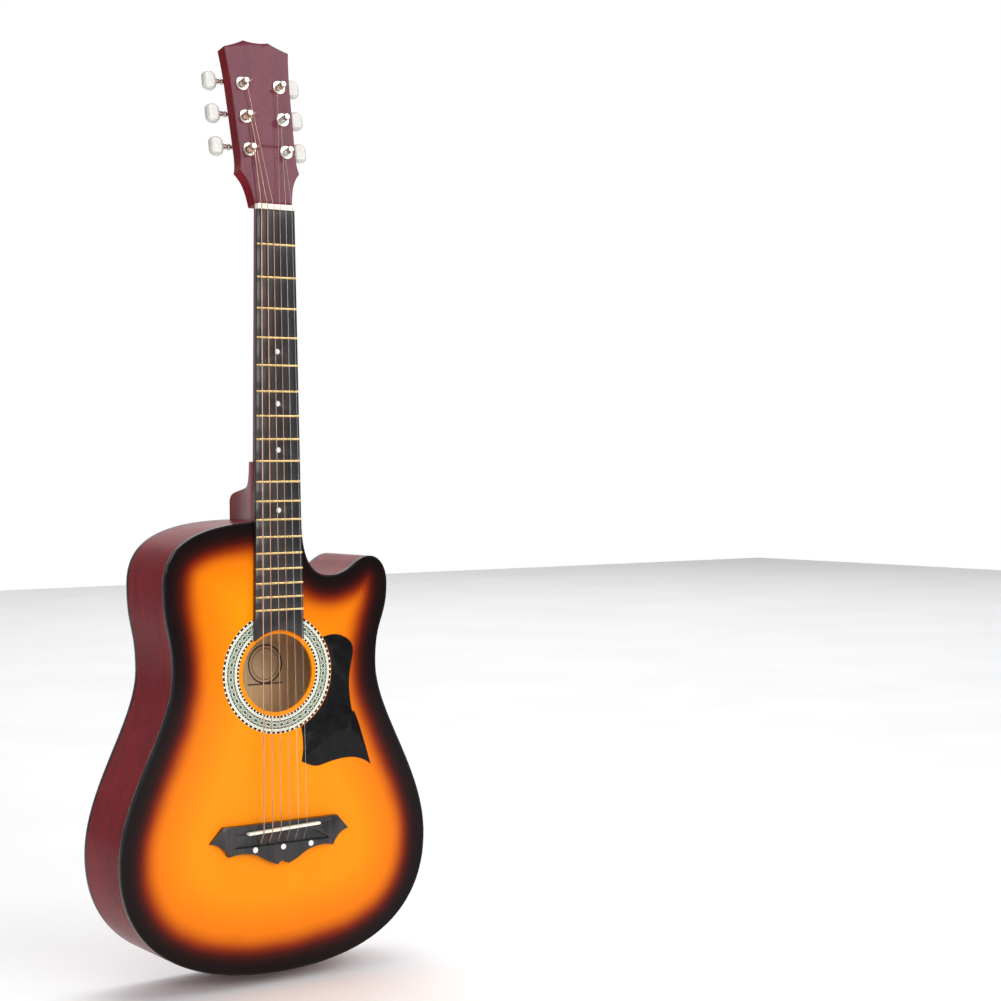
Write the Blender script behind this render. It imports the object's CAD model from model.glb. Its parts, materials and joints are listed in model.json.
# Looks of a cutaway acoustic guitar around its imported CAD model. Metres, in the model's own frame:
# +Z up along the neck, +X to the treble side, the soundboard's face on y = 0 and the player at -Y.
import json
import math

import bmesh
import bpy
import numpy as np
from mathutils import Matrix, Vector, geometry


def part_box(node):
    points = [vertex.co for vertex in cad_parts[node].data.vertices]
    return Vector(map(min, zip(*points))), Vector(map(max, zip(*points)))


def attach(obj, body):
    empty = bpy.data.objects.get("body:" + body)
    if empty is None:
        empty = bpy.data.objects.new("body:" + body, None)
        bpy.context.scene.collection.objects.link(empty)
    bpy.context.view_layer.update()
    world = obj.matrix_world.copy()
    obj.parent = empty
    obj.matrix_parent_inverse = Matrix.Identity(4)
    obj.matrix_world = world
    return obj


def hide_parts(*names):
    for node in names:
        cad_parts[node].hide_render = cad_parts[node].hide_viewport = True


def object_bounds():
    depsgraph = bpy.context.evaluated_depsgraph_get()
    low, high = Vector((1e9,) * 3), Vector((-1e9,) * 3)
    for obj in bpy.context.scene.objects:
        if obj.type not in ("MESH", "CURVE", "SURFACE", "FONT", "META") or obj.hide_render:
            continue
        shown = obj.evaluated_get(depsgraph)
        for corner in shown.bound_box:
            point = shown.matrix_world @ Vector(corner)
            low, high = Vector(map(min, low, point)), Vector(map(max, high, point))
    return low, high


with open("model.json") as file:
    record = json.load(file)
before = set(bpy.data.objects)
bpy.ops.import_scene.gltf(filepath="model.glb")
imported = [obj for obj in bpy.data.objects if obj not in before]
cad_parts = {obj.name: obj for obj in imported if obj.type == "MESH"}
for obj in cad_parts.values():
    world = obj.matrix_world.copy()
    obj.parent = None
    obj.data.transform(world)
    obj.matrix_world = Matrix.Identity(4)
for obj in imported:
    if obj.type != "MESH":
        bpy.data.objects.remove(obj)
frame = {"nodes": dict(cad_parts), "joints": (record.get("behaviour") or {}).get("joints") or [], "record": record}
cad_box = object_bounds()

MM = 0.001

# ---- Sizes shared with the CAD model, in metres ------------------------------------------
SCALE_LENGTH = 635 * MM
SOUND_HOLE = Vector((0, 0, -476 * MM))
HOLE_RADIUS = 40.5 * MM
ROSETTE_INNER = 44.8 * MM
ROSETTE_OUTER = 62.8 * MM
ROSETTE_DEPTH = 0.8 * MM
TOP_THICKNESS = 3.0 * MM
SADDLE_HEIGHT = 14.0 * MM
SADDLE_SLANT = math.radians(2.1)
SADDLE_Z = -SCALE_LENGTH - 0.5 * MM
TROUGH_Z = -650.5 * MM
BALL_Z = -658.0 * MM
STRING_HOLE_HEIGHT = 5.4 * MM
NUT_LENGTH = 5.5 * MM
STRING_HEIGHT_NUT = 6.7 * MM
SPREAD_SADDLE = 50.3 * MM
SPREAD_NUT = 35.4 * MM
DIAMETERS = tuple(value * MM for value in (0.30, 0.41, 0.61, 0.81, 1.07, 1.35))
STRING_NAMES = ("e_high", "b", "g", "d", "a", "e_low")
POST_RADIUS = 3.0 * MM
POST_HOLE_HEIGHT = 8.8 * MM
COIL_START = 3.2 * MM
COIL_GAP = 0.15 * MM

JOINTS = {joint["name"]: joint for joint in frame["joints"]}
HEAD_NORMAL = Vector(JOINTS["post_turn_1"]["axis"])
HEAD_UP = HEAD_NORMAL.cross(Vector((1, 0, 0)))
HEAD_RIGHT = Vector((1, 0, 0))


# ---- Material building -------------------------------------------------------------------


class Nodes:
    """One material's nodes, with short calls for the kinds used here."""

    def __init__(self, name, **constants):
        self.material = bpy.data.materials.new(name)
        self.material.use_nodes = True
        self.tree = self.material.node_tree
        self.shader = self.tree.nodes["Principled BSDF"]
        for socket, value in constants.items():
            self.shader.inputs[socket.replace("_", " ")].default_value = value

    def plug(self, value, socket):
        """Links an output to a socket, or sets the socket to a constant."""
        if isinstance(value, bpy.types.NodeSocket):
            self.tree.links.new(value, socket)
        else:
            socket.default_value = value

    def new(self, kind, inputs=(), **settings):
        """Adds a node with its settings, and its inputs linked or set."""
        node = self.tree.nodes.new("ShaderNode" + kind)
        for name, value in settings.items():
            setattr(node, name, value)
        for key, value in dict(inputs).items():
            self.plug(value, node.inputs[key])
        return node

    def place(self, scale=(1, 1, 1)):
        """The object's own coordinates in metres, stretched."""
        coordinates = self.new("TexCoord").outputs["Object"]
        return self.new("Mapping", {"Vector": coordinates, "Scale": scale}).outputs["Vector"]

    def noise(self, scale, vector=None, detail=3.0, roughness=0.5):
        vector = self.place() if vector is None else vector
        inputs = {"Vector": vector, "Scale": scale, "Detail": detail, "Roughness": roughness}
        return self.new("TexNoise", inputs).outputs["Fac"]

    def ramp(self, value, stops, blend="EASE"):
        """Colours at places from 0 to 1, in rising order."""
        node = self.new("ValToRGB", {"Fac": value})
        node.color_ramp.interpolation = blend
        elements = node.color_ramp.elements
        for place, _ in stops[1:-1]:
            elements.new(place)
        elements[0].position, elements[-1].position = stops[0][0], stops[-1][0]
        for element, (_, colour) in zip(elements, stops):
            element.color = (*colour, 1)
        return node.outputs["Color"]

    def math(self, operation, first, second=0.0):
        return self.new("Math", {0: first, 1: second}, operation=operation).outputs[0]

    def mix(self, share, first, second, blend="MIX"):
        node = self.tree.nodes.new("ShaderNodeMix")
        node.data_type = "RGBA"
        node.blend_type = blend
        self.plug(share, node.inputs["Factor"])
        for value, socket in ((first, node.inputs[6]), (second, node.inputs[7])):
            self.plug(value if isinstance(value, bpy.types.NodeSocket) else (*value, 1), socket)
        return node.outputs[2]

    def spread(self, value, low, high):
        """Takes 0 to 1 to low to high."""
        node = self.new("MapRange", {"Value": value, "To Min": low, "To Max": high})
        return node.outputs["Result"]

    def colour(self, value):
        self.plug(value, self.shader.inputs["Base Color"])

    def rough(self, value, low, high):
        self.plug(self.spread(value, low, high), self.shader.inputs["Roughness"])

    def bump(self, height, distance, strength=1.0):
        inputs = {"Height": height, "Distance": distance, "Strength": strength}
        self.plug(self.new("Bump", inputs).outputs["Normal"], self.shader.inputs["Normal"])


def along_grain(nodes, fine=900.0, long=6.0):
    """Noise drawn out along the guitar, as wood grain in the XY plane."""
    return nodes.noise(1.0, nodes.place((fine, fine, long)), detail=5.0, roughness=0.6)


def handling(nodes):
    """Faint smudges that vary a polished surface's roughness."""
    return nodes.noise(45.0, detail=4.0, roughness=0.65)


SPRAY_REACH = 80  # millimetres
# distance from the binding in millimetres, colour of the stain there
SPRAY = (
    (0, (0.004, 0.0012, 0.0015)),
    (7, (0.007, 0.0016, 0.0020)),
    (12, (0.018, 0.0022, 0.0018)),
    (17, (0.055, 0.0040, 0.0014)),
    (21, (0.15, 0.013, 0.0010)),
    (25, (0.30, 0.036, 0.0008)),
    (29, (0.48, 0.090, 0.0008)),
    (34, (0.70, 0.155, 0.0006)),
    (40, (0.85, 0.205, 0.0006)),
    (52, (0.94, 0.235, 0.0006)),
    (80, (1.0, 0.300, 0.0006)),
)


def sunburst():
    nodes = Nodes("sunburst_top", Coat_Weight=0.2, Coat_Roughness=0.05, Specular_IOR_Level=0.05)
    distance = nodes.new("Attribute", attribute_name="edge_distance").outputs["Fac"]
    cloud = nodes.noise(14.0, detail=2.0)
    sprayed = nodes.math("ADD", distance, nodes.spread(cloud, -0.0035, 0.0035))
    share = nodes.math("DIVIDE", sprayed, SPRAY_REACH * MM)
    burst = nodes.ramp(share, [(far / SPRAY_REACH, colour) for far, colour in SPRAY], "LINEAR")
    grain = along_grain(nodes, 620.0, 5.0)
    flame = nodes.noise(1.0, nodes.place((28.0, 28.0, 4.0)), detail=2.0)
    tone = nodes.mix(nodes.spread(flame, 0.0, 0.30), burst, (0.95, 0.72, 0.6), "MULTIPLY")
    nodes.colour(nodes.mix(nodes.spread(grain, 0.0, 0.40), tone, (0.85, 0.68, 0.5), "MULTIPLY"))
    nodes.rough(handling(nodes), 0.26, 0.40)
    nodes.bump(grain, 0.00004, 0.25)
    return nodes.material


FIGURE_SHARE = 0.4


def lacquered(name, dark, light, coat):
    """Stained wood under gloss lacquer."""
    nodes = Nodes(name, Coat_Weight=coat, Coat_Roughness=0.07, Specular_IOR_Level=0.04)
    grain = along_grain(nodes, 420.0, 9.0)
    figure = nodes.noise(1.0, nodes.place((60.0, 60.0, 10.0)), detail=3.0)
    share = nodes.math("ADD", nodes.math("MULTIPLY", grain, 1 - FIGURE_SHARE),
                       nodes.math("MULTIPLY", figure, FIGURE_SHARE))
    nodes.colour(nodes.ramp(share, [(0.25, dark), (0.75, light)]))
    nodes.rough(handling(nodes), 0.22, 0.38)
    nodes.bump(grain, 0.00003, 0.3)
    return nodes.material


def bare_wood(name, dark, light):
    nodes = Nodes(name, Specular_IOR_Level=0.25)
    grain = along_grain(nodes, 700.0, 8.0)
    rings = nodes.noise(1.0, nodes.place((240.0, 240.0, 3.0)), detail=1.0)
    share = nodes.math("MULTIPLY", nodes.math("ADD", grain, rings), 0.5)
    nodes.colour(nodes.ramp(share, [(0.3, dark), (0.7, light)]))
    nodes.rough(grain, 0.55, 0.8)
    nodes.bump(grain, 0.00012, 0.5)
    return nodes.material


def black_wood(name, gloss):
    """Dyed hardwood with open pores along the grain."""
    nodes = Nodes(name, Coat_Weight=gloss, Coat_Roughness=0.15, Specular_IOR_Level=0.4)
    grain = along_grain(nodes, 900.0, 22.0)
    pores = nodes.ramp(grain, [(0.40, (0.0, 0.0, 0.0)), (0.52, (1.0, 1.0, 1.0))])
    streaks = nodes.noise(1.0, nodes.place((160.0, 160.0, 5.0)), detail=3.0)
    base = nodes.ramp(streaks, [(0.3, (0.008, 0.007, 0.008)), (0.75, (0.030, 0.024, 0.024))])
    nodes.colour(nodes.mix(0.5, base, pores, "MULTIPLY"))
    nodes.rough(streaks, 0.30, 0.50)
    nodes.bump(pores, 0.00006, 0.35)
    return nodes.material


def gloss_black(name, colour=(0.006, 0.005, 0.006), coat=0.3):
    nodes = Nodes(name, Coat_Weight=coat, Coat_Roughness=0.05, Specular_IOR_Level=0.07)
    cloud = nodes.noise(90.0, detail=4.0)
    lighter = tuple(2.2 * value for value in colour)
    nodes.colour(nodes.ramp(cloud, [(0.35, colour), (0.8, lighter)]))
    nodes.rough(handling(nodes), 0.18, 0.34)
    nodes.bump(nodes.noise(260.0, detail=2.0), 0.00002, 0.25)
    return nodes.material


def metal(name, colour, rough_low, rough_high):
    nodes = Nodes(name, Metallic=1.0)
    scratches = nodes.noise(400.0, detail=4.0)
    tarnish = nodes.noise(130.0, detail=4.0, roughness=0.65)
    dull = tuple(0.62 * value for value in colour)
    nodes.colour(nodes.ramp(tarnish, [(0.25, dull), (0.55, colour)]))
    nodes.rough(scratches, rough_low, rough_high)
    nodes.bump(scratches, 0.00001, 0.3)
    return nodes.material


def bone():
    nodes = Nodes("bone", Subsurface_Weight=0.2, Subsurface_Scale=0.001)
    streaks = along_grain(nodes, 200.0, 500.0)
    nodes.colour(nodes.ramp(streaks, [(0.3, (0.80, 0.74, 0.60)), (0.7, (0.91, 0.88, 0.80))]))
    nodes.rough(handling(nodes), 0.22, 0.40)
    nodes.bump(streaks, 0.00002, 0.3)
    return nodes.material


def pearl(name, low, high, scale):
    """Cloudy mother-of-pearl plastic."""
    nodes = Nodes(name, Coat_Weight=1.0, Coat_Roughness=0.05, Specular_IOR_Level=0.5)
    warp = nodes.noise(scale, detail=3.0)
    swirl = nodes.new("Mapping", {"Vector": nodes.place(), "Location": nodes.mix(1.0, warp, warp)})
    flakes = nodes.new("TexVoronoi", {"Vector": swirl.outputs["Vector"], "Scale": scale * 1.4},
                       feature="SMOOTH_F1").outputs["Distance"]
    nodes.colour(nodes.ramp(flakes, [(0.1, high), (0.75, low)]))
    nodes.rough(warp, 0.16, 0.32)
    nodes.bump(warp, 0.00002, 0.15)
    return nodes.material


def winding(name, colour, pitch):
    """Round wire wound on a core: bands along the string, from the mesh's UV in metres."""
    nodes = Nodes(name, Metallic=1.0)
    uv = nodes.new("SeparateXYZ", {"Vector": nodes.new("UVMap", uv_map="length").outputs["UV"]})
    turn = nodes.math("SINE", nodes.math("MULTIPLY", uv.outputs["X"], 2 * math.pi / pitch))
    height = nodes.spread(turn, 0.5, 1.0)
    groove = tuple(0.25 * value for value in colour)
    tarnish = nodes.noise(60.0, detail=4.0)
    worn = nodes.ramp(tarnish, [(0.3, tuple(0.7 * value for value in colour)), (0.7, colour)])
    nodes.colour(nodes.mix(height, groove, worn))
    nodes.rough(tarnish, 0.22, 0.42)
    nodes.bump(height, 0.00006, 0.6)
    return nodes.material


def polar(nodes, centre):
    """Radius in millimetres and share of a turn around a point of the soundboard."""
    axes = nodes.new("SeparateXYZ", {"Vector": nodes.new("TexCoord").outputs["Object"]})
    x = nodes.math("SUBTRACT", axes.outputs["X"], centre.x)
    z = nodes.math("SUBTRACT", axes.outputs["Z"], centre.z)
    squares = nodes.math("ADD", nodes.math("MULTIPLY", x, x), nodes.math("MULTIPLY", z, z))
    radius = nodes.math("MULTIPLY", nodes.math("SQRT", squares), 1 / MM)
    turn = nodes.math("MULTIPLY", nodes.math("ARCTAN2", z, x), 0.5 / math.pi)
    return radius, nodes.math("ADD", turn, 0.5)


CREAM = (0.86, 0.85, 0.74)
INK = (0.006, 0.009, 0.008)
GREEN = (0.030, 0.12, 0.065)
SAGE = (0.34, 0.42, 0.32)
MOSAIC_TURNS = 44
DASHES = 70
DASH_GAP = 0.52
# the rest in millimetres from the middle of the ring
MOSAIC_EDGE = 3.6
BORDER_START = 7.1
ZIGZAG_HEIGHT = 3.2
ZIGZAG_LINE = 0.55
GEM_EDGE = -1.5
CORNER_EDGE = 1.4
# line rings between the mosaic and the border, as shares of half the ring's width
LINE_RINGS = ((0.0, CREAM), (0.40, INK), (0.47, CREAM), (0.58, SAGE), (0.64, CREAM), (0.75, INK))


def rosette_inlay():
    """Dashed borders, line rings and a zigzag of gems, laid out around the sound hole."""
    nodes = Nodes("rosette_inlay", Coat_Weight=0.2, Coat_Roughness=0.06, Specular_IOR_Level=0.1)
    radius, turn = polar(nodes, SOUND_HOLE)
    inner, outer = ROSETTE_INNER / MM, ROSETTE_OUTER / MM
    middle = (inner + outer) / 2
    off = nodes.math("ABSOLUTE", nodes.math("SUBTRACT", radius, middle))
    beat = nodes.math("ABSOLUTE", nodes.math("SINE", nodes.math("MULTIPLY", turn, math.pi * DASHES)))
    dashes = nodes.mix(nodes.math("LESS_THAN", beat, DASH_GAP), INK, CREAM)
    wave = nodes.math("ABSOLUTE", nodes.math("SINE", nodes.math("MULTIPLY", turn, math.pi * MOSAIC_TURNS)))
    zigzag = nodes.math("SUBTRACT", off, nodes.math("MULTIPLY", wave, ZIGZAG_HEIGHT))
    line = nodes.math("LESS_THAN", nodes.math("ABSOLUTE", zigzag), ZIGZAG_LINE)
    gem = nodes.math("LESS_THAN", zigzag, GEM_EDGE)
    corner = nodes.math("GREATER_THAN", zigzag, CORNER_EDGE)
    filled = nodes.mix(nodes.math("MAXIMUM", gem, corner), CREAM, GREEN)
    mosaic = nodes.mix(line, filled, INK)
    rings = nodes.ramp(nodes.math("DIVIDE", off, (outer - inner) / 2), LINE_RINGS, "CONSTANT")
    banded = nodes.mix(nodes.math("LESS_THAN", off, MOSAIC_EDGE), rings, mosaic)
    pattern = nodes.mix(nodes.math("GREATER_THAN", off, BORDER_START), banded, dashes)
    aged = nodes.noise(150.0, detail=4.0)
    nodes.colour(nodes.mix(nodes.spread(aged, 0.0, 0.25), pattern, (0.88, 0.82, 0.66), "MULTIPLY"))
    nodes.rough(handling(nodes), 0.22, 0.38)
    nodes.bump(aged, 0.00002, 0.3)
    return nodes.material


def paper_label():
    """Oval ring and a line along the foot on tan paper, with no lettering."""
    low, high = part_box("label")
    centre = (low + high) / 2
    half_x, half_z = (high.x - low.x) / 2, (high.z - low.z) / 2
    nodes = Nodes("paper", Specular_IOR_Level=0.2)
    axes = nodes.new("SeparateXYZ", {"Vector": nodes.new("TexCoord").outputs["Object"]})
    x = nodes.math("DIVIDE", nodes.math("SUBTRACT", axes.outputs["X"], centre.x), half_x)
    z = nodes.math("DIVIDE", nodes.math("SUBTRACT", axes.outputs["Z"], centre.z), half_z)
    oval = nodes.math("SQRT", nodes.math("ADD", nodes.math("MULTIPLY", nodes.math("MULTIPLY", x, x), 0.92),
                                         nodes.math("MULTIPLY", nodes.math("MULTIPLY", z, z), 0.92)))
    ring = nodes.math("LESS_THAN", nodes.math("ABSOLUTE", nodes.math("SUBTRACT", oval, 0.86)), 0.035)
    thin = nodes.math("LESS_THAN", nodes.math("ABSOLUTE", nodes.math("SUBTRACT", oval, 0.70)), 0.015)
    border = nodes.math("LESS_THAN", nodes.math("ABSOLUTE", nodes.math("ADD", z, 0.93)), 0.03)
    print_share = nodes.math("MAXIMUM", nodes.math("MAXIMUM", ring, thin), border)
    fibres = nodes.noise(500.0, detail=4.0)
    paper = nodes.ramp(fibres, [(0.3, (0.70, 0.47, 0.26)), (0.7, (0.84, 0.62, 0.38))])
    nodes.colour(nodes.mix(print_share, paper, (0.06, 0.045, 0.035)))
    nodes.rough(fibres, 0.75, 0.92)
    nodes.bump(fibres, 0.00004, 0.4)
    return nodes.material


RED_DARK = (0.10, 0.0020, 0.0055)
RED_LIGHT = (0.24, 0.0040, 0.0110)
MATERIALS = {
    "sunburst_top": sunburst(),
    "red_lacquer": lacquered("red_lacquer", RED_DARK, RED_LIGHT, coat=0.11),
    "head_lacquer": lacquered("head_lacquer", (0.100, 0.018, 0.034), (0.165, 0.029, 0.050), coat=0.45),
    "black_binding": gloss_black("black_binding"),
    "inner_wood": bare_wood("inner_wood", (0.82, 0.50, 0.24), (0.96, 0.68, 0.38)),
    "inner_hardwood": bare_wood("inner_hardwood", (0.20, 0.10, 0.05), (0.34, 0.19, 0.10)),
    "rosette_inlay": rosette_inlay(),
    "black_plastic": gloss_black("black_plastic", (0.004, 0.004, 0.0045), 0.2),
    "black_hardwood": black_wood("black_hardwood", 0.3),
    "bone": bone(),
    "steel": metal("steel", (0.55, 0.55, 0.57), 0.30, 0.48),
    "pearl": pearl("pearl", (0.60, 0.60, 0.60), (0.92, 0.92, 0.90), 300.0),
    "fret_brass": metal("fret_brass", (0.86, 0.62, 0.28), 0.18, 0.34),
    "nickel": metal("nickel", (0.74, 0.71, 0.65), 0.18, 0.36),
    "paper": paper_label(),
    "plain_steel": metal("plain_steel", (0.62, 0.60, 0.60), 0.32, 0.45),
    "wound_bronze": winding("wound_bronze", (0.90, 0.52, 0.36), 0.34 * MM),
    "pearl_button": pearl("pearl_button", (0.42, 0.40, 0.37), (0.66, 0.64, 0.60), 110.0),
    "gear_brass": metal("gear_brass", (0.80, 0.58, 0.26), 0.25, 0.42),
}
SLOT_OF = {part["node"]: part["material_slot"] for part in frame["record"]["subparts"]}

for name, node in frame["nodes"].items():
    for slot in node.material_slots:
        slot.material = MATERIALS[SLOT_OF[name]]


# ---- Mesh building -----------------------------------------------------------------------


def new_piece(name, mesh, body, slot, replaces=()):
    """Adds a finished mesh as a piece that rides on a body."""
    piece = bpy.data.objects.new(name, mesh)
    bpy.context.scene.collection.objects.link(piece)
    mesh.materials.clear()
    mesh.materials.append(MATERIALS[slot])
    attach(piece, body)
    if replaces:
        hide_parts(*replaces)
    return piece


def welded(node):
    """The CAD node's mesh in bmesh, joined up and with its flat faces whole."""
    work = bmesh.new()
    work.from_mesh(frame["nodes"][node].data)
    bmesh.ops.remove_doubles(work, verts=work.verts, dist=1e-6)
    bmesh.ops.dissolve_limit(work, angle_limit=math.radians(0.4), verts=work.verts, edges=work.edges)
    return work


def shaded(work, name, sharp=32.0):
    """Finishes a bmesh as a mesh, smooth but for edges over an angle in degrees."""
    for face in work.faces:
        face.smooth = True
    for edge in work.edges:
        edge.smooth = not (edge.is_manifold and edge.calc_face_angle(0) > math.radians(sharp))
    mesh = bpy.data.meshes.new(name)
    work.to_mesh(mesh)
    work.free()
    return mesh


def softened(node, name, width, segments=3, angle=28.0):
    """Copy of a CAD node with its outside edges rounded, in place of that node."""
    work = welded(node)
    sharp = math.radians(angle)
    chosen = [edge for edge in work.edges
              if edge.is_manifold and edge.is_convex and edge.calc_face_angle(0) >= sharp]
    bmesh.ops.bevel(work, geom=chosen, offset=width, segments=segments, profile=0.5,
                    affect="EDGES", clamp_overlap=True)
    return new_piece(name, shaded(work, name), "root", SLOT_OF[node], (node,))


def rim_loops(node, depth):
    """Closed rims of a CAD node in the plane y = depth, longest first."""
    work = bmesh.new()
    work.from_mesh(frame["nodes"][node].data)
    bmesh.ops.remove_doubles(work, verts=work.verts, dist=1e-6)
    follow = {}
    for edge in work.edges:
        flat = all(abs(vertex.co.y - depth) < 1e-6 for vertex in edge.verts)
        if flat and edge.is_manifold and edge.calc_face_angle(0) > math.radians(40):
            first, second = edge.verts
            follow.setdefault(first.index, []).append(second.index)
            follow.setdefault(second.index, []).append(first.index)
    work.verts.ensure_lookup_table()
    loops, seen = [], set()
    for start in follow:
        if start in seen:
            continue
        loop, previous, current = [], None, start
        while current not in seen:
            seen.add(current)
            loop.append(work.verts[current].co.copy())
            onward = [index for index in follow[current] if index != previous and index not in seen]
            previous, current = current, (onward[0] if onward else current)
        loops.append(loop)
    work.free()
    return sorted(loops, key=len, reverse=True)


def distance_to(loop, places):
    """Least distance from each place to a closed polyline, in the XZ plane."""
    start = np.array([(point.x, point.z) for point in loop])
    run = np.roll(start, -1, axis=0) - start
    length = (run**2).sum(axis=1)
    nearest = np.full(len(places), 1e9)
    for origin, step, square in zip(start, run, length):
        share = np.clip(((places - origin) @ step) / max(square, 1e-12), 0, 1)
        nearest = np.minimum(nearest, np.linalg.norm(places - origin - share[:, None] * step, axis=1))
    return nearest


def circle(radius, count=128):
    """Points of a circle around the sound hole, in the XZ plane."""
    turns = [2 * math.pi * index / count for index in range(count)]
    return [SOUND_HOLE + Vector((radius * math.cos(turn), 0, radius * math.sin(turn))) for turn in turns]


GRID = 4 * MM


def top_plate():
    """Soundboard with a fine face, so that the sunburst can follow the distance to its edge."""
    outline = rim_loops("soundboard", 0)[0]
    rings = [circle(HOLE_RADIUS), circle(ROSETTE_INNER), circle(ROSETTE_OUTER)]
    points, edges = [], []
    for loop in [outline, *rings]:
        first = len(points)
        points += [Vector((point.x, point.z)) for point in loop]
        edges += [(first + index, first + (index + 1) % len(loop)) for index in range(len(loop))]
    low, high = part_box("soundboard")
    grid = np.array([(x, z) for x in np.arange(low.x, high.x, GRID) for z in np.arange(low.z, high.z, GRID)])
    away = np.hypot(grid[:, 0] - SOUND_HOLE.x, grid[:, 1] - SOUND_HOLE.z)
    clear = distance_to(outline, grid) > GRID / 2
    for radius in (HOLE_RADIUS, ROSETTE_INNER, ROSETTE_OUTER):
        clear &= np.abs(away - radius) > GRID / 3
    points += [Vector(place) for place in grid[clear]]
    made = geometry.delaunay_2d_cdt(points, edges, [list(range(len(outline)))], 1, 1e-7)
    work = bmesh.new()
    corners = [work.verts.new((point.x, 0, point.y)) for point in made[0]]
    for face in made[2]:
        middle = sum((corners[index].co for index in face), Vector()) / len(face)
        if (middle - SOUND_HOLE).length > HOLE_RADIUS:
            work.faces.new([corners[index] for index in face])
    bmesh.ops.delete(work, geom=[vertex for vertex in work.verts if not vertex.link_faces], context="VERTS")
    bmesh.ops.recalc_face_normals(work, faces=work.faces)
    if sum(face.normal.y for face in work.faces) > 0:
        bmesh.ops.reverse_faces(work, faces=work.faces)
    front = list(work.faces)
    back = bmesh.ops.extrude_face_region(work, geom=front)["geom"]
    front_now = [item for item in back if isinstance(item, bmesh.types.BMFace)]
    moved = {vertex for face in front_now for vertex in face.verts}
    for vertex in moved:
        vertex.co.y = TOP_THICKNESS
    bmesh.ops.reverse_faces(work, faces=front_now)
    bmesh.ops.recalc_face_normals(work, faces=work.faces)
    seat = []
    for face in work.faces:
        middle = face.calc_center_median()
        away = math.hypot(middle.x - SOUND_HOLE.x, middle.z - SOUND_HOLE.z)
        if abs(middle.y) < 1e-6 and ROSETTE_INNER < away < ROSETTE_OUTER:
            seat.append(face)
    sunk = bmesh.ops.extrude_face_region(work, geom=seat)["geom"]
    bmesh.ops.translate(work, vec=(0, ROSETTE_DEPTH, 0),
                        verts=[item for item in sunk if isinstance(item, bmesh.types.BMVert)])
    bmesh.ops.delete(work, geom=[face for face in seat if face.is_valid], context="FACES")
    mesh = shaded(work, "top_plate")
    places = np.array([(vertex.co.x, vertex.co.z) for vertex in mesh.vertices])
    layer = mesh.attributes.new("edge_distance", "FLOAT", "POINT")
    layer.data.foreach_set("value", distance_to(outline, places).astype(np.float32))
    new_piece("top_plate", mesh, "root", "sunburst_top", ("soundboard",))
    mesh.materials.append(MATERIALS["inner_wood"])
    for polygon in mesh.polygons:
        polygon.material_index = 1 if polygon.normal.y > 0.5 and polygon.center.y > TOP_THICKNESS / 2 else 0


top_plate()


def bare_inside(node, name, is_inside):
    """Copy of a lacquered CAD plate whose inner faces are bare wood, in place of that node."""
    work = welded(node)
    middles = np.array([face.calc_center_median() for face in work.faces])
    normals = np.array([face.normal for face in work.faces])
    inside = is_inside(middles, normals).astype(np.int32)
    piece = new_piece(name, shaded(work, name), "root", "red_lacquer", (node,))
    piece.data.materials.append(MATERIALS["inner_wood"])
    piece.data.polygons.foreach_set("material_index", inside)


SKIN = 1.9 * MM  # faces of the sides further than this from the body's outline are inside


def behind_the_skin(middles, normals):
    return distance_to(rim_loops("binding", 0)[0], middles[:, [0, 2]]) > SKIN


bare_inside("back_plate", "back_wood", lambda middles, normals: normals[:, 1] < -0.5)
bare_inside("side_bass", "rim_bass", behind_the_skin)
bare_inside("side_treble", "rim_treble", behind_the_skin)


# ---- Strings -----------------------------------------------------------------------------


def rounded(points, radius, steps=6):
    """Polyline with its corners turned into short arcs."""
    result = [points[0]]
    for before, corner, after in zip(points, points[1:], points[2:]):
        back, ahead = (before - corner).normalized(), (after - corner).normalized()
        half = back.angle(ahead) / 2
        if half > math.radians(89.5):
            result.append(corner)
            continue
        reach = min(radius / math.tan(half), (before - corner).length / 2.1, (after - corner).length / 2.1)
        start, end = corner + back * reach, corner + ahead * reach
        for step in range(steps + 1):
            share = step / steps
            result.append(start.lerp(corner, share).lerp(corner.lerp(end, share), share))
    result.append(points[-1])
    return result


def tube(points, radius, sides=10):
    """Closed tube along points in bmesh, with its length in metres in the UV map called length."""
    work = bmesh.new()
    uv = work.loops.layers.uv.new("length")
    travelled = [0.0]
    for first, second in zip(points, points[1:]):
        travelled.append(travelled[-1] + (second - first).length)
    rings = []
    across = Vector((0.31, 0.77, 0.55))
    for index, point in enumerate(points):
        ahead = points[min(index + 1, len(points) - 1)] - points[max(index - 1, 0)]
        ahead.normalize()
        across = (across - ahead * across.dot(ahead)).normalized()
        other = ahead.cross(across)
        turns = [2 * math.pi * side / sides for side in range(sides)]
        ring = [point + radius * (across * math.cos(turn) + other * math.sin(turn)) for turn in turns]
        rings.append([work.verts.new(corner) for corner in ring])
    for index, (ring, onward) in enumerate(zip(rings, rings[1:])):
        for side in range(sides):
            following = (side + 1) % sides
            face = work.faces.new((ring[side], ring[following], onward[following], onward[side]))
            lengths = (travelled[index], travelled[index], travelled[index + 1], travelled[index + 1])
            turns = (side, side + 1, side + 1, side)
            for loop, length, turn in zip(face.loops, lengths, turns):
                loop[uv].uv = (length, turn / sides)
    work.faces.new(list(reversed(rings[0])))
    work.faces.new(rings[-1])
    return work


def post_point(number, angle, radius, height):
    """Point around a string post, from its joint: angle from the treble side, counter-clockwise."""
    centre = Vector(JOINTS[f"post_turn_{number}"]["pos_m"])
    return centre + (HEAD_RIGHT * math.cos(angle) + HEAD_UP * math.sin(angle)) * radius + HEAD_NORMAL * height


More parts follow.
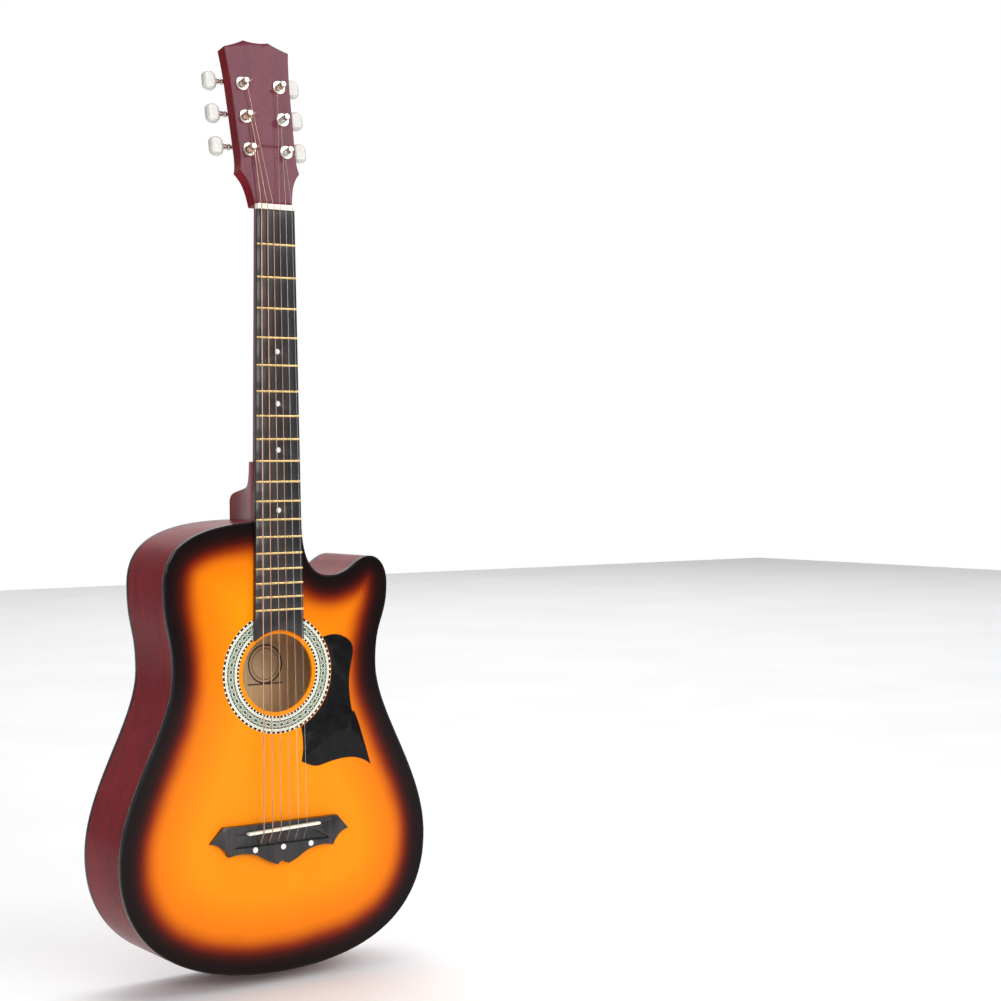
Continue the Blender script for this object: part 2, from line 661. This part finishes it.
COIL_TURNS = 2
COIL_STEPS = 96
COIL_PITCH = 1.03  # diameters of the string
LAST_OF_COIL = 0.14  # share of the coil that rises to the post's hole
RUN_BEND = 2.5 * MM
BALL_WRAP_PLAIN = 2.1  # radii of the string
BALL_WRAP_WOUND = 1.7
LAST_PLAIN = 2


def make_string(number, diameter):
    """Run from the bridge over the saddle and the nut, turns around the post, and the tail in its hole."""
    node = f"string_{number}_{STRING_NAMES[number - 1]}"
    plain = number <= LAST_PLAIN
    radius = diameter / 2
    side = 1 if number <= len(DIAMETERS) / 2 else -1
    place = 0.5 - (number - 1) / (len(DIAMETERS) - 1)
    x_saddle, x_nut = place * SPREAD_SADDLE, place * SPREAD_NUT
    nut = Vector((x_nut, -STRING_HEIGHT_NUT - radius, NUT_LENGTH / 2))
    offset = nut - Vector(JOINTS[f"post_turn_{number}"]["pos_m"])
    flat_x, flat_up = offset.dot(HEAD_RIGHT), offset.dot(HEAD_UP)
    coil = POST_RADIUS + COIL_GAP + radius
    start = math.atan2(flat_up, flat_x) - side * math.acos(coil / math.hypot(flat_x, flat_up))
    run = rounded([
        Vector((x_saddle, -STRING_HOLE_HEIGHT, BALL_Z)),
        Vector((x_saddle, -STRING_HOLE_HEIGHT, TROUGH_Z - 0.6 * MM)),
        Vector((x_saddle, -SADDLE_HEIGHT - radius, SADDLE_Z + x_saddle * math.tan(SADDLE_SLANT))),
        nut,
        post_point(number, start, coil, COIL_START + radius),
    ], RUN_BEND)
    work = tube(run + coil_points(number, start, side, coil, diameter), radius)
    wrap = tube([run[0], run[0].lerp(run[1], 0.9)], radius * (BALL_WRAP_PLAIN if plain else BALL_WRAP_WOUND))
    extra = bpy.data.meshes.new("wrap")
    wrap.to_mesh(extra)
    wrap.free()
    work.from_mesh(extra)
    name = f"string_{number}_plain" if plain else f"string_{number}_wound"
    new_piece(name, shaded(work, name), "root", SLOT_OF[node], (node,))
    make_tail(number, side, radius, SLOT_OF[node])


def coil_points(number, start, side, coil, diameter):
    """Turns around a post, the last of them rising to the post's hole."""
    start %= 2 * math.pi
    to_hole = start if side > 0 else (math.pi - start) % (2 * math.pi)
    full = to_hole + COIL_TURNS * 2 * math.pi
    points = []
    for step in range(1, COIL_STEPS + 1):
        share = step / COIL_STEPS
        turned = full * share
        last = max(0.0, (share - (1 - LAST_OF_COIL)) / LAST_OF_COIL)
        height = COIL_START + diameter / 2 + COIL_PITCH * diameter * turned / (2 * math.pi)
        height += (POST_HOLE_HEIGHT - height) * last**2 * (3 - 2 * last)
        points.append(post_point(number, start - side * turned, coil, height))
    return points


def make_tail(number, side, radius, slot):
    """Cut end of a string, through the post's hole and out at the far side."""
    inside = 0 if side > 0 else math.pi
    enter = post_point(number, inside, POST_RADIUS - 0.2 * MM, POST_HOLE_HEIGHT)
    leave = post_point(number, inside + math.pi, POST_RADIUS + 1.5 * MM, POST_HOLE_HEIGHT)
    lifted = post_point(number, inside + math.pi + 0.25, POST_RADIUS + 5.0 * MM, POST_HOLE_HEIGHT + 1.6 * MM)
    name = f"string_tail_{number}"
    tail = tube(rounded([enter, leave, lifted], 2 * MM), radius)
    new_piece(name, shaded(tail, name), f"post_{number}", slot)


for number, diameter in enumerate(DIAMETERS, start=1):
    make_string(number, diameter)


# ---- Rounded edges -----------------------------------------------------------------------

softened("binding", "edge_binding", 1.3 * MM)
softened("pickguard", "pickguard_plate", 0.35 * MM, segments=2)
softened("bridge", "bridge_block", 0.7 * MM, angle=24)
softened("headstock_veneer", "headstock_face", 0.7 * MM)
softened("fretboard", "fretboard_wood", 0.35 * MM, segments=2)
softened("nut", "nut_bone", 0.3 * MM, segments=2)


# ---- Studio ------------------------------------------------------------------------------


YAW, PITCH, ROLL = (math.radians(value) for value in (34.58, 1.08, 0.402))
EYE = Vector((-978.97, -1827.43, -260.91)) * MM
LENS = 71.93
FLOOR_HALF = 6.5
FLOOR_TONES = ((0.3, (0.84, 0.84, 0.84)), (0.7, (0.87, 0.87, 0.87)))
MIDDLE = (0, 0.03, -0.45)
HEAD_FOOT = (0, 0, 0)
# name, place, target, width and height, power in watts
LIGHTS = (
    ("key", (0.98, -1.60, 1.25), HEAD_FOOT, (1.3, 1.1), 15),
    ("front", (-0.05, -2.6, 0.25), MIDDLE, (1.2, 1.2), 31),
    ("fill", (-1.7, -2.3, 0.6), MIDDLE, (1.5, 1.5), 17),
    ("left", (-2.4, -0.4, 0.1), MIDDLE, (0.9, 1.6), 5),
    ("above", (0.0, 0.4, 2.4), MIDDLE, (2.2, 2.2), 26),
    ("backdrop", (2.6, 3.2, 2.8), (2.6, 3.2, cad_box[0][2]), (6.4, 6.4), 160),
)


def area_light(name, place, target, size, power):
    data = bpy.data.lights.new(name, "AREA")
    data.shape = "RECTANGLE"
    data.size, data.size_y = size
    data.energy = power
    lamp = bpy.data.objects.new(name, data)
    lamp.location = place
    lamp.rotation_euler = (Vector(target) - Vector(place)).to_track_quat("-Z", "Y").to_euler()
    bpy.context.scene.collection.objects.link(lamp)


def studio_world():
    """White backdrop behind the guitar, and a dimmer room around it."""
    world = bpy.data.worlds.new("studio")
    world.use_nodes = True
    tree = world.node_tree
    direction = tree.nodes.new("ShaderNodeTexCoord").outputs["Generated"]
    towards = tree.nodes.new("ShaderNodeVectorMath")
    towards.operation = "DOT_PRODUCT"
    towards.inputs[1].default_value = (math.sin(YAW), math.cos(YAW), 0.0)
    tree.links.new(direction, towards.inputs[0])
    ramp = tree.nodes.new("ShaderNodeValToRGB")
    tree.links.new(towards.outputs["Value"], ramp.inputs["Fac"])
    room, backdrop = ramp.color_ramp.elements
    room.position, room.color = 0.35, (0.30, 0.30, 0.31, 1)
    backdrop.position, backdrop.color = 0.80, (1.0, 1.0, 1.0, 1)
    tree.links.new(ramp.outputs["Color"], tree.nodes["Background"].inputs["Color"])
    bpy.context.scene.world = world


def studio():
    """Pale floor, soft lights and the camera."""
    low, half = cad_box[0][2], FLOOR_HALF
    mesh = bpy.data.meshes.new("floor")
    mesh.from_pydata([(x, y, low) for x, y in ((-half, -half), (half, -half), (half, half), (-half, half))],
                     [], [(0, 1, 2, 3)])
    floor = bpy.data.objects.new("floor", mesh)
    bpy.context.scene.collection.objects.link(floor)
    nodes = Nodes("floor", Roughness=0.8)
    nodes.colour(nodes.ramp(nodes.noise(3.0, detail=2.0), FLOOR_TONES))
    mesh.materials.append(nodes.material)
    studio_world()
    for light in LIGHTS:
        area_light(*light)


def camera():
    """The photo's view, as solved from the nut, frets, bridge and outline."""
    data = bpy.data.cameras.new("camera")
    data.sensor_width = 36.0
    data.lens = LENS
    data.clip_end = 100
    eye = bpy.data.objects.new("camera", data)
    ahead = Vector((math.sin(YAW) * math.cos(PITCH), math.cos(YAW) * math.cos(PITCH), -math.sin(PITCH)))
    level = ahead.cross(Vector((0, 0, 1))).normalized()
    right = Matrix.Rotation(ROLL, 3, ahead) @ level
    up = right.cross(ahead)
    turn = Matrix((right, up, -ahead)).transposed().to_4x4()
    eye.matrix_world = Matrix.Translation(EYE) @ turn
    bpy.context.scene.collection.objects.link(eye)
    bpy.context.scene.camera = eye


studio()
camera()
bpy.context.scene.view_settings.view_transform = "Standard"
